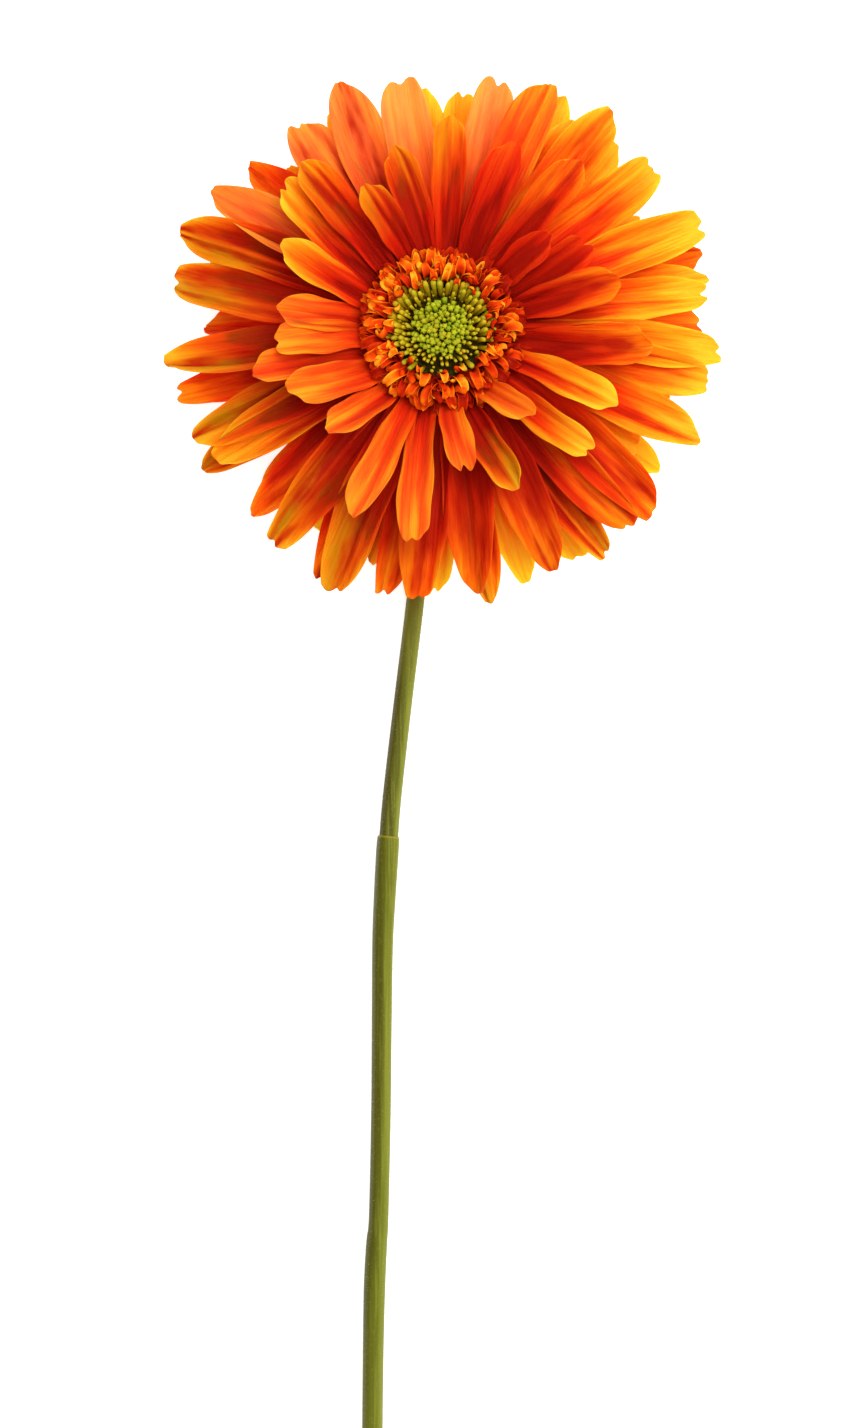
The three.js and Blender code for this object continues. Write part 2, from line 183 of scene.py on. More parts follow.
def figure(operation, *values):
    """The result of one sum on sockets or numbers, made in the tree of the sockets."""
    tree = next(value for value in values if isinstance(value, bpy.types.NodeSocket)).id_data
    return wire(tree, "ShaderNodeMath", dict(enumerate(values)), operation=operation)[0]


def axis(vector, number):
    """One of the three numbers of a vector."""
    return wire(vector.id_data, "ShaderNodeSeparateXYZ", {0: vector})[number]


def between(value, low, high, start=0, end=1):
    """A value's place between low and high, as a number from start to end, never past them."""
    limits = {"Value": value, 1: low, 2: high, 3: start, 4: end}
    return wire(value.id_data, "ShaderNodeMapRange", limits)["Result"]


def tinted(colour, *layers):
    """A colour that goes over to the tint of each layer (share, tint) in turn, by its share from 0 to 1."""
    for share, tint in layers:
        first, second = (shade(*paint) if isinstance(paint, tuple) else paint for paint in (colour, tint))
        inputs = {0: share, 6: first, 7: second}
        colour = wire(share.id_data, "ShaderNodeMix", inputs, data_type="RGBA")[2]
    return colour


def new_finish(name, roughness):
    """A material with its shader and the place of each point on the piece."""
    material = bpy.data.materials.new(name)
    material.use_nodes = True
    shader = material.node_tree.nodes["Principled BSDF"]
    feed(shader, {"Roughness": roughness})
    return material, shader, wire(material.node_tree, "ShaderNodeTexCoord")["Object"]


def grain(place, stretch, detail=2):
    """An even grey grain, with the number of its waves in each direction given for one unit of place."""
    stretched = wire(place.id_data, "ShaderNodeMapping", {"Vector": place, "Scale": stretch})[0]
    noise = {"Vector": stretched, "Scale": 1, "Detail": detail}
    return wire(place.id_data, "ShaderNodeTexNoise", noise)["Fac"]


def coat(shader, colour, relief, strength, depth, gloss=0.5, tint=(1, 1, 1, 1)):
    """Gives a shader its colour, its fine relief and the strength and tint of its gloss."""
    bump = {"Height": relief, "Strength": strength, "Distance": depth}
    normal = wire(shader.id_data, "ShaderNodeBump", bump)[0]
    feed(shader, {
        "Base Color": colour, "Normal": normal, "Specular IOR Level": gloss, "Specular Tint": tint,
    })


def stalk_finish(name, body, dark, pale):
    """Olive green stalk with a satin skin: long fibres, dark blotches, pale specks and painted light and
    shade.
    """
    material, shader, place = new_finish(name, 0.45)
    fibre = grain(place, (2400, 70, 2400), detail=3)
    band = grain(place, (620, 16, 620))
    speck = grain(place, (1700, 900, 1700), detail=1)
    y = axis(place, 1)
    # paler towards the cut end, and paler near the bloom as painted light against the shadow the bloom casts
    ends = figure("MAXIMUM", between(y, -0.06, -0.15, 0, 0.5), between(y, 0.066, 0.09, 0, 0.6))
    # painted light and shade: the side facing east, towards the lamp, is paler and the west side darker
    east = axis(wire(shader.id_data, "ShaderNodeNewGeometry")["Normal"], 0)
    colour = tinted(
        body, (between(band, 0.5, 0.66), dark), (between(band, 0.44, 0.3, 0, 0.7), pale),
        (between(fibre, 0.5, 0.72, 0, 0.75), pale), (between(speck, 0.62, 0.72, 0, 0.4), pale),
        (between(east, 0.25, -0.5, 0, 0.85), dark), (ends, pale), (between(east, 0.3, 0.85, 0, 0.8), pale),
    )
    coat(shader, colour, fibre, 0.35, 0.0002, 0.25, (0.9, 1, 0.45, 1))
    return material


lower_green = stalk_finish("olive green stalk, lower", (92, 95, 8), (72, 68, 6), (128, 132, 40))
# painted highlight: the rim is coloured paler than the stalk, for the light it catches
rim_green = stalk_finish("green rim with painted highlight", (128, 124, 20), (108, 98, 12), (142, 138, 44))
cut_pith, shader, place = new_finish("pale cut pith", 0.6)
pith = grain(place, (1500, 1500, 1500), detail=3)
cells = wire(place.id_data, "ShaderNodeTexVoronoi", {"Vector": place, "Scale": 2600})["Distance"]
pith_colour = tinted(
    (206, 210, 150), (between(pith, 0.35, 0.65), (170, 178, 96)),
    (between(cells, 0.2, 0.6), (226, 226, 178)),
)
coat(shader, pith_colour, cells, 0.4, 0.0001)

rings = stalk_rings(eased_rows([(x, y, radius * SEAT, radius) for x, y, radius in LOWER_STEM], STEM_STEP))
for i, ring in enumerate(rings[-CUT_RINGS:]):
    for corner in ring:
        corner.y += CUT_SLANT * corner.z * (i + 1) / CUT_RINGS
stem_run = (rings[1][0] - rings[0][0]).normalized() * MM
mouth = [drawn_in(rings[0], share, stem_run * depth) for share, depth in MOUTH]
rings[0] = drawn_in(rings[0], 1, stem_run * RIM_WIDTH)
cut_face = [drawn_in(rings[-1], CUT_FACE[0], stem_run * CUT_FACE[1])]
stem_skin = skin(mouth + rings + cut_face)
lower_stem = new_piece("lower_stem", *stem_skin, lower_green, cut_pith, rim_green)
# the faces of the mouth come first, and the last are the edge of the cut and the two ends
ends_from = len(lower_stem.data.polygons) - STEM_SIDES * 3
for polygon in lower_stem.data.polygons:
    if polygon.index < len(MOUTH) * STEM_SIDES:
        polygon.material_index = 2
    elif polygon.index >= ends_from:
        polygon.material_index = 1
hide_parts("stem_lower")
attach(lower_stem, "root")

# Upper stem
# The thinner half of the stalk, from the foot of the bloom round the bent neck to the joint.
# It is the same green tissue, a little browner, and its end stands in the mouth of the lower stem.
BLOOM_LEAN = radians(10)  # the bloom's axis leans from the vertical towards +Y
MIDDLE_HEIGHT = 6  # the height in the bloom at which its middle is seen from above
INVOLUCRE_DEPTH = 11.5
CLEARANCE = 0.3
NECK_DROP = 7.5
NECK_RADIUS = 1.85
NECK_SINK = 0.4  # how far the neck reaches up into the cup
NECK_PULLS = (0.8, 6.5)  # how stiffly it bends: a share of its drop, and millimetres along the floor
NECK_STEPS = 14
FLARE = 0.55  # how much wider it is where it meets the cup
FLARE_STEPS = 4
UPPER_END_RADIUS = 2.08
THICKENING = 110  # the length over which the stem reaches that radius
SPIGOT_DEPTH = 0.7
UPPER_STEM = [(-1, -12), (-3.1, -34), (-5.6, -58.8), (-8.3, -81), (-10.6, -101), (-11.4, -110.4)]
AXIS_HEIGHT = LOWER_STEM[0][2] * SEAT
BLOOM_HEIGHT = AXIS_HEIGHT + NECK_DROP + (INVOLUCRE_DEPTH + CLEARANCE) * cos(BLOOM_LEAN)
BLOOM_Y = -MIDDLE_HEIGHT * sin(BLOOM_LEAN)


def bezier(points, t):
    """A point and its heading on the curve that four points give."""
    a, b, c, d = points
    s = 1 - t
    at = a * s ** 3 + b * (3 * s * s * t) + c * (3 * s * t * t) + d * t ** 3
    heading = (b - a) * (s * s) + (c - b) * (2 * s * t) + (d - c) * (t * t)
    return at, heading.normalized()


down = Vector((0, -sin(BLOOM_LEAN), -cos(BLOOM_LEAN)))
neck_top = Vector((0, BLOOM_Y, BLOOM_HEIGHT)) + down * (INVOLUCRE_DEPTH - NECK_SINK)
floor_run = [Vector((x, y, AXIS_HEIGHT)) for x, y in UPPER_STEM]
away = (floor_run[0] - floor_run[1]).normalized()
neck_turn = (neck_top + down * NECK_DROP * NECK_PULLS[0], floor_run[0] + away * NECK_PULLS[1])
neck = (neck_top, *neck_turn, floor_run[0])
neck_rows = [bezier(neck, i / NECK_STEPS)[0] for i in range(NECK_STEPS)]
stem_rows = []
for i, at in enumerate(neck_rows + floor_run):
    flare = FLARE * max(0, 1 - i / FLARE_STEPS) ** 2
    length_share = min(1, max(0, -at.y / THICKENING))
    stem_rows.append((*at, NECK_RADIUS + flare + (UPPER_END_RADIUS - NECK_RADIUS) * length_share))
upper_rings = stalk_rings(eased_rows(stem_rows, STEM_STEP))
upper_rings.append([corner + stem_run * SPIGOT_DEPTH for corner in upper_rings[-1]])
upper_green = stalk_finish("olive green stalk, upper", (84, 86, 9), (67, 59, 8), (128, 132, 40))
upper_stem = new_piece("upper_stem", *skin(upper_rings), upper_green)
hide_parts("stem_upper")
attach(upper_stem, "root")

# Involucre
# The green cup behind the petals, three rows of narrow bracts that lap over each other like scales.
# They are leafy and downy, and grow from the foot of the cup, which passes into the neck of the stem.
BLOOM_TILT = Matrix.Rotation(-BLOOM_LEAN, 4, "X") @ Matrix.Scale(MM, 4)
BLOOM_PLACE = Matrix.Translation(from_bloom(0, BLOOM_Y, BLOOM_HEIGHT)) @ BLOOM_TILT
CUP_PROFILE = [
    (1.9, -11.5), (2.6, -11.3), (4.6, -10.6), (6.5, -9.7), (8.6, -8.5), (10.4, -7.2), (11.5, -6),
    (12, -4.8), (11.8, -3.6), (9, -3.5),
]
CUP_SIDES = 72
BRACTS = [(6.4, 0.4), (6, 1), (6.8, 0.1)]  # each (length, how far the tip curls out)
BRACT_HALF = 1.9
BRACT_STEPS = 8
BRACT_COLUMNS = 5
BRACT_THICK = 0.6
BRACT_CUP = -0.22
BRACT_ROWS = [
    (19, 4.2, -10.6, -0.42, 0.04, 0.85, 0.06, 3), (22, 7.2, -9.2, -0.5, 0.04, 0.95, 0.06, 5),
    (24, 9.9, -7.5, -0.32, 0.05, 0.95, 0.08, 7),
]
SPARSE_BEARING = 2.9  # the side, in radians from north, on which a row can have gaps


def spoke(radius, angle, height):
    """A point at this distance and angle round the z axis."""
    return Vector((radius * cos(angle), radius * sin(angle), height))


def turned(profile):
    """Corners and faces of a closed body turned round the bloom's axis from (radius, height) pairs."""
    angles = [tau * k / CUP_SIDES for k in range(CUP_SIDES)]
    return skin([[spoke(radius, angle, height) for angle in angles] for radius, height in profile])


def sheet_faces(rows, columns):
    """Faces of a closed thin sheet whose upper corners come first, row by row, and then its lower ones."""
    under = rows * columns
    faces = []
    for i in range(rows - 1):
        for k in range(columns - 1):
            a = i * columns + k
            faces.append((a, a + 1, a + columns + 1, a + columns))
            faces.append((under + a, under + a + columns, under + a + columns + 1, under + a + 1))
        left, right = i * columns, (i + 1) * columns - 1
        faces.append((left, left + columns, under + left + columns, under + left))
        faces.append((right, under + right, under + right + columns, right + columns))
    for k in range(columns - 1):
        last = (rows - 1) * columns + k
        faces.append((k, under + k, under + k + 1, k + 1))
        faces.append((last, last + 1, under + last + 1, under + last))
    return faces


def strap(stations, columns, thick, cup):
    """A curled strap through (y, z, half width) stations, and each corner's place along it, from 0 to 1."""
    corners, lengths = [], []
    for side in (0.5, -0.5):
        for i, (y, z, half) in enumerate(stations):
            before, after = stations[max(i - 1, 0)], stations[min(i + 1, len(stations) - 1)]
            run = Vector((0, after[0] - before[0], after[1] - before[1])).normalized()
            face = Vector((1, 0, 0)).cross(run)
            lengths += [i / (len(stations) - 1)] * columns
            for k in range(columns):
                across = 2 * k / (columns - 1) - 1
                lift = side * thick * (1 - 0.5 * across * across) + cup * half * across * across
                corners.append(Vector((across * half, y, z)) + face * lift)
    return corners, sheet_faces(len(stations), columns), lengths


def shapes(kind, made):
    """A hidden collection of shapes for a tree to repeat, each with its corners' places along it."""
    collection = bpy.data.collections.new(kind + " shapes")
    for i, (corners, faces, lengths) in enumerate(made):
        shape = new_piece("%s_%d" % (kind, i), corners, faces)
        bpy.context.scene.collection.objects.unlink(shape)
        collection.objects.link(shape)
        shape.data.attributes.new("tip", "FLOAT", "POINT").data.foreach_set("value", lengths)
    return collection


def new_tree(name, **inputs):
    """A Geometry Nodes tree, its inputs and its result, with the inputs' names given for each kind."""
    tree = bpy.data.node_groups.new(name, "GeometryNodeTree")
    for in_out in ("INPUT", "OUTPUT"):
        tree.interface.new_socket("Geometry", in_out=in_out, socket_type="NodeSocketGeometry")
    for kind, names in inputs.items():
        for input_name in names.split(", "):
            tree.interface.new_socket(input_name, in_out="INPUT", socket_type="NodeSocket" + kind)
    return tree, wire(tree, "NodeGroupInput"), tree.nodes.new("NodeGroupOutput")


def times(first, second):
    """One number times another."""
    return figure("MULTIPLY", first, second)


def plus(first, second):
    """One number plus another."""
    return figure("ADD", first, second)


def chance(low, high, seed, salt):
    """A random number for each point, the same on every run."""
    draw = {2: low, 3: high, "Seed": plus(seed, salt)}
    return wire(seed.id_data, "FunctionNodeRandomValue", draw, data_type="FLOAT")[1]


def stray(sizes, name, salt):
    """A random number for each point, up to this size in either direction."""
    return times(chance(-1, 1, sizes["Seed"], salt), sizes[name])


def vector(tree, numbers):
    """Three numbers as one vector."""
    return wire(tree, "ShaderNodeCombineXYZ", dict(enumerate(numbers)))[0]


def finished(tree, placed, finish):
    """What stands on the points, made into a plain mesh with its finish."""
    plain = wire(tree, "GeometryNodeRealizeInstances", {"Geometry": placed})[0]
    return wire(tree, "GeometryNodeSetMaterial", {"Geometry": plain, "Material": finish})[0]


def repeat(sizes, result, at, turn, size, luck_salt, kept=True):
    """Places the shapes, each with a luck of its own, and adds them to what the piece has already."""
    tree = result.id_data
    points = {"Count": sizes["Count"], "Position": vector(tree, at)}
    shapes = {"Collection": sizes["Shapes"], "Separate Children": True, "Reset Children": True}
    placed = wire(tree, "GeometryNodeInstanceOnPoints", {
        "Points": wire(tree, "GeometryNodePoints", points)[0], "Selection": kept,
        "Instance": wire(tree, "GeometryNodeCollectionInfo", shapes)[0], "Pick Instance": True,
        "Rotation": vector(tree, turn), "Scale": size,
    })[0]
    luck = wire(tree, "GeometryNodeStoreNamedAttribute", {
        "Geometry": placed, "Name": "luck", "Value": chance(0, 1, sizes["Seed"], luck_salt),
    }, data_type="FLOAT", domain="INSTANCE")[0]
    both = tree.nodes.new("GeometryNodeJoinGeometry")
    feed(both, {0: finished(tree, luck, sizes["Finish"])})
    feed(both, {0: sizes["Geometry"]})
    feed(result, {0: both.outputs[0]})


def ring_tree():
    """A ring of straps or knobs round the bloom's axis, added to what the piece has already."""
    tree, sizes, result = new_tree(
        "ring of florets", Int="Count, Seed", Collection="Shapes", Material="Finish",
        Float="Radius, Height, Wander, Lean, Lean spread, Size, Size spread, Twist spread, Sparse",
    )
    index = wire(tree, "GeometryNodeInputIndex")[0]
    step = figure("DIVIDE", tau, sizes["Count"])
    bearing = times(plus(index, stray(sizes, "Wander", 1)), step)
    east = times(figure("SINE", bearing), sizes["Radius"])
    north = times(figure("COSINE", bearing), sizes["Radius"])
    tilt = figure("SUBTRACT", times(stray(sizes, "Lean spread", 2), -1), sizes["Lean"])
    turn = (tilt, stray(sizes, "Twist spread", 3), times(bearing, -1))
    size = times(sizes["Size"], plus(stray(sizes, "Size spread", 4), 1))
    gaps = times(figure("COSINE", figure("SUBTRACT", bearing, SPARSE_BEARING)), sizes["Sparse"])
    kept = figure("GREATER_THAN", chance(0, 1, sizes["Seed"], 5), gaps)
    repeat(sizes, result, (east, north, sizes["Height"]), turn, size, 6, kept)
    return tree


def grow(piece, tree, **sizes):
    """Adds a tree to a piece, with each of its inputs set by the socket's own identifier."""
    modifier = piece.modifiers.new(tree.name, "NODES")
    modifier.node_group = tree
    sockets = {item.name: item.identifier for item in tree.interface.items_tree if item.in_out == "INPUT"}
    for name, value in sizes.items():
        modifier[sockets[name.replace("_", " ").capitalize()]] = value


def grow_rows(piece, names, rows, **common):
    """Adds one ring to a piece for each row of sizes, which stand in the order of the names."""
    for row in rows:
        grow(piece, ring_of_florets, **dict(zip(names.split(), row)), **common)


def settle(piece, place=Matrix()):
    """Makes the piece a plain mesh of its own, moved into place, with its trees gone."""
    bpy.context.view_layer.update()
    evaluated = piece.evaluated_get(bpy.context.evaluated_depsgraph_get())
    piece.data = bpy.data.meshes.new_from_object(evaluated)
    piece.data.transform(place)
    piece.modifiers.clear()


def clear(*collections):
    """Takes the shapes that a tree has repeated out of the file."""
    for collection in collections:
        for shape in list(collection.objects):
            bpy.data.objects.remove(shape)
        bpy.data.collections.remove(collection)


def kept_on(shader, name, part="Fac"):
    """What the piece keeps under this name at each of its points."""
    return wire(shader.id_data, "ShaderNodeAttribute", attribute_name=name)[part]


def colour_steps(share, *steps):
    """A colour read off a row of steps, each (place, red, green, blue)."""
    node = share.id_data.nodes.new("ShaderNodeValToRGB")
    ramp = node.color_ramp
    while len(ramp.elements) < len(steps):
        ramp.elements.new(0.5)
    for element, (place, *colour) in zip(ramp.elements, steps):
        element.position = place
        element.color = shade(*colour)
    feed(node, {"Fac": share})
    return node.outputs["Color"]


bract_green, shader, place = new_finish("downy green bract", 0.55)
vein = grain(place, (1500, 1500, 500), detail=3)
colour = colour_steps(kept_on(shader, "tip"), (0, 62, 82, 18), (0.55, 96, 118, 28), (1, 134, 136, 44))
colour = tinted(
    colour, (between(vein, 0.45, 0.7, 0, 0.5), (62, 82, 18)),
    (between(kept_on(shader, "luck"), 0, 1, 0, 0.3), (134, 136, 44)),
)
feed(shader, {"Sheen Weight": 0.08, "Sheen Tint": (0.6, 0.8, 0.3, 1)})
coat(shader, colour, vein, 0.4, 0.0002, 0.2)

ring_of_florets = ring_tree()
made = []
for reach, curl in BRACTS:
    stations = []
    for j in range(BRACT_STEPS + 1):
        t = j / BRACT_STEPS
        half = BRACT_HALF * sin(pi * (0.2 + 0.8 * t)) ** 0.7 + 0.05
        stations.append((reach * t, curl * t * t * (1.2 - t), half))
    made.append(strap(stations, BRACT_COLUMNS, BRACT_THICK, BRACT_CUP))
bract_shapes = shapes("bract", made)
involucre = new_piece("cup_of_bracts", *turned(CUP_PROFILE), bract_green)
grow_rows(involucre, "count radius height lean lean_spread size size_spread seed", BRACT_ROWS,
          wander=0.12, twist_spread=0.06, shapes=bract_shapes, finish=bract_green)
settle(involucre, BLOOM_PLACE)
clear(bract_shapes)
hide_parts("involucre")
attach(involucre, "root")

# Petals
# The large ray florets, thin satin straps with soft grooves and toothed tips, all rooted in one disc.
# They stand in four whorls: a half hidden back one, two that make the face, and a raised inner one.
# Each is red at the root and ripens through orange to yellow, some only to salmon, some to brown olive.
# Part of their colour is painted shade in the roots, grooves and patches, and painted light on some back
# petals and the edges.
RAY_ROOT = 11
RAY_SPAN = 47
RAY_STATIONS = 40
RAY_COLUMNS = 31
MIDDLE_THICK = 0.42
EDGE_THICK = 0.14
RAY_ROLL = 5  # how far each petal is turned about its midrib, in degrees, so that one edge laps
PETAL_DRAWS = 33  # how many seeded numbers shape one petal
RIPEST = 1.25  # the far end of the petals' row of colours
RECEPTACLE = [(10.5, -3.2), (12.6, -3), (13.5, -2.3), (13.5, -1.1), (12.8, -0.5), (11.5, -0.3)]
# each petal: bearing of its root and of its tip, how far it reaches, its width, its teeth and its colour
BACK = [
    (5, 5, 52.5, 9, 2, "t"), (27, 27.5, 58, 9, 1, "t"), (43, 43, 56.5, 9, 1, "t"), (58, 58, 50, 9, 2, "y"),
    (73, 73, 60, 9.5, 1, "r"), (89, 89, 56, 9, 2, "o"), (106, 106, 52, 9, 1, "y"),
    (122.5, 122.5, 56.5, 10, 1, "l"), (136, 136, 56, 9, 2, "l"), (149, 149, 58, 9.5, 2, "l"),
    (161, 161, 58, 9.5, 1, "l"), (181, 181.5, 57.5, 9.5, 2, "l"), (197, 197, 53, 9, 1, "b"),
    (212, 212, 51, 9, 1, "l"), (226, 226, 53, 9, 2, "b"), (240, 239.8, 60, 9.5, 1, "b"),
    (256, 256, 55, 9, 2, "b"), (271, 271.5, 51.5, 9.5, 1, "r"), (287, 287, 53, 9, 1, "l"),
    (302, 302, 52, 9, 2, "r"), (317.5, 317.5, 49.5, 9, 1, "t"), (333.5, 333.5, 53.5, 9, 1, "t"),
    (355.5, 355.5, 53, 9.5, 1, "t"),
]
LOWER = [
    (33, 33, 54.5, 9, 1, "y"), (61, 61, 47, 9, 1, "o"), (78.5, 78.5, 59.5, 9, 1, "a"),
    (89, 89, 56.5, 9.5, 2, "o"), (121, 121, 50, 9, 2, "y"), (144, 144, 61, 8, 2, "b"),
    (169.5, 169.5, 60.5, 9, 1, "b"), (191.5, 191.5, 59, 9, 2, "m"), (206.5, 206.5, 60.5, 9.5, 1, "m"),
    (226, 225, 57.5, 9.5, 1, "r"), (256.5, 256, 59, 9, 2, "r"), (311, 311, 55.5, 10, 1, "r"),
]
UPPER = [
    (12, 12.8, 56.5, 10, 2, "s"), (23, 23.5, 58.5, 10.5, 1, "o"), (38, 38, 61, 10.5, 1, "a"),
    (52.5, 52.5, 58.5, 10.5, 3, "a"), (67.5, 68, 61.5, 10.5, 2, "y"), (83, 83, 58, 9.5, 2, "y"),
    (95, 95, 60.8, 9.5, 2, "y"), (102, 101.3, 59.3, 10, 3, "a"), (113, 113.5, 61, 10.5, 1, "a"),
    (129, 130.8, 61, 11, 2, "r"), (137.5, 136.8, 59.5, 10, 2, "r"), (155, 155, 58, 10.5, 1, "m"),
    (171, 172.5, 58, 11, 1, "m"), (185, 185, 59.2, 10.5, 2, "m"), (202, 202, 61.8, 11, 2, "b"),
    (217.5, 217.5, 59.5, 11, 2, "b"), (239, 239, 56.3, 11.5, 1, "a"), (246.5, 245.5, 58.5, 10.5, 1, "b"),
    (263.5, 262.8, 60.2, 10.5, 1, "b"), (280, 280.4, 59, 11.5, 2, "b"), (291, 290.6, 60.7, 10.5, 1, "b"),
    (302, 301, 58.2, 10.5, 1, "p"), (325.5, 325.3, 55.3, 11, 2, "p"), (337.5, 337.7, 58.6, 11, 1, "n"),
    (350.5, 350, 55.3, 11, 2, "s"),
]
INNER = [
    (4, 3, 45.7, 7.5, 1, "d"), (21, 21, 42.5, 8, 1, "k"), (38, 39.5, 46.5, 8.5, 1, "r"),
    (51, 50, 30.5, 7, 1, "k"), (64, 61, 36.5, 8, 2, "k"), (77, 76, 39.5, 8.5, 1, "r"),
    (101, 96, 45.5, 9, 1, "r"), (114, 115.3, 41.5, 7.5, 1, "y"), (134, 130.7, 42.3, 7, 2, "y"),
    (148, 134.5, 28, 6, 1, "u"), (163, 155.5, 39, 7, 1, "b"), (174, 170, 32.5, 6.5, 2, "u"),
    (190, 187.3, 47, 7.5, 2, "u"), (203, 204.7, 45.7, 7.5, 1, "u"), (215, 227, 33.5, 7, 1, "u"),
    (234, 246, 36, 8.5, 1, "u"), (252, 255.5, 41.7, 8, 1, "u"), (262, 263.3, 36.2, 8.5, 2, "u"),
    (276, 275.3, 35.2, 7.5, 1, "u"), (288, 296.5, 38.5, 7.5, 1, "a"), (307, 312, 46, 9, 2, "a"),
    (317, 319.3, 46.3, 8.5, 1, "d"), (336, 331.5, 34.7, 7, 1, "d"), (348, 344.5, 40, 7.5, 1, "d"),
]
# each whorl: its petals, the height of their roots, the rise near them, the arch, the height of the tips
# and the cup
WHORLS = [
    ("petals_back", BACK, -2.8, 0.4, 5.5, -16.5, 1.4), ("petals_lower", LOWER, -2.5, 1.9, 4, -9, 2),
    ("petals_upper", UPPER, -1.9, 3.5, 3.5, -4, 2.2), ("petals_inner", INNER, -1.6, 2.6, -0.8, 9, 1.5),
]
# each colour: how ripe the tip gets, where 1 is yellow and more is lemon, how late it ripens, how salmon
# it is, how dark its grooves are, how olive its outer half is, how much redder its middle stays than its
# edges and how far it darkens in patches. The dark grooves and patches are partly the petal's own streaks
# and mottling and partly painted shade, most on the m petals at the bottom, which lie in shade.
RIPENESS = {
    # painted light: l tips are a lighter lemon than t tips, to lift back petals that lie in the shade of the
    # whorls above
    "l": (RIPEST, 0.6, 0, 0.5, 0, 0.1, 0), "t": (1.08, 0.6, 0, 0.5, 0, 0.1, 0),
    "y": (1, 0.76, 0, 0.7, 0, 0.22, 0), "a": (0.93, 0.9, 0, 0.8, 0, 0.26, 0.1),
    "o": (0.66, 1, 0.1, 0.8, 0, 0.2, 0.1), "r": (0.58, 0.95, 0, 1, 0.15, 0.36, 0.4),
    "b": (0.98, 1.7, 0, 1.1, 1, 0.6, 0.3), "s": (0.62, 0.8, 0.85, 0.3, 0, 0.04, 0),
    "k": (0.26, 1.2, 0, 1, 0, 0.2, 0.3), "d": (0.72, 1.7, 0, 1, 0.6, 0.3, 0.2),
    "u": (0.56, 0.45, 0.1, 0.5, 0, 0.1, 0), "p": (0.66, 0.8, 0.5, 1, 0, 0.12, 0.1),
    "m": (0.7, 1.5, 0, 1.3, 0.35, 0.2, 0.7), "n": (0.58, 0.85, 0.6, 1.2, 0, 0.1, 0.25),
}


def scatter(index, salt):
    """A number from 0 to 1 that looks random and is the same on every run."""
    wild = sin(index * 12.9898 + salt * 78.233) * 43758.5453
    return wild - floor(wild)


def seen_from_above(bearing, radius, height):
    """A point in the bloom that an eye straight above sees at this bearing and distance from its middle."""
    angle = radians(bearing)
    north = radius * cos(angle) + (MIDDLE_HEIGHT - height) * sin(BLOOM_LEAN)
    return Vector((radius * sin(angle), north / cos(BLOOM_LEAN), height))


def table_at(y):
    """The height in the bloom at which the table top lies under this y."""
    return (y * sin(BLOOM_LEAN) - BLOOM_HEIGHT) / cos(BLOOM_LEAN)


def fullness(along, shoulder, blunt, taper):
    """A petal's width along it: narrow at the root, widest at its shoulder, closing to a blunt tip."""
    opening = 0.42 + 0.58 * sin(pi / 2 * min(1, along / shoulder)) ** 1.3
    past = max(0, along - shoulder) / (1 - shoulder)
    return opening * (1 - (1 - blunt) * past ** taper)


def hump(value, middle, width):
    """A smooth bump of height 1 round the middle."""
    return exp(-((value - middle) / width) ** 2)


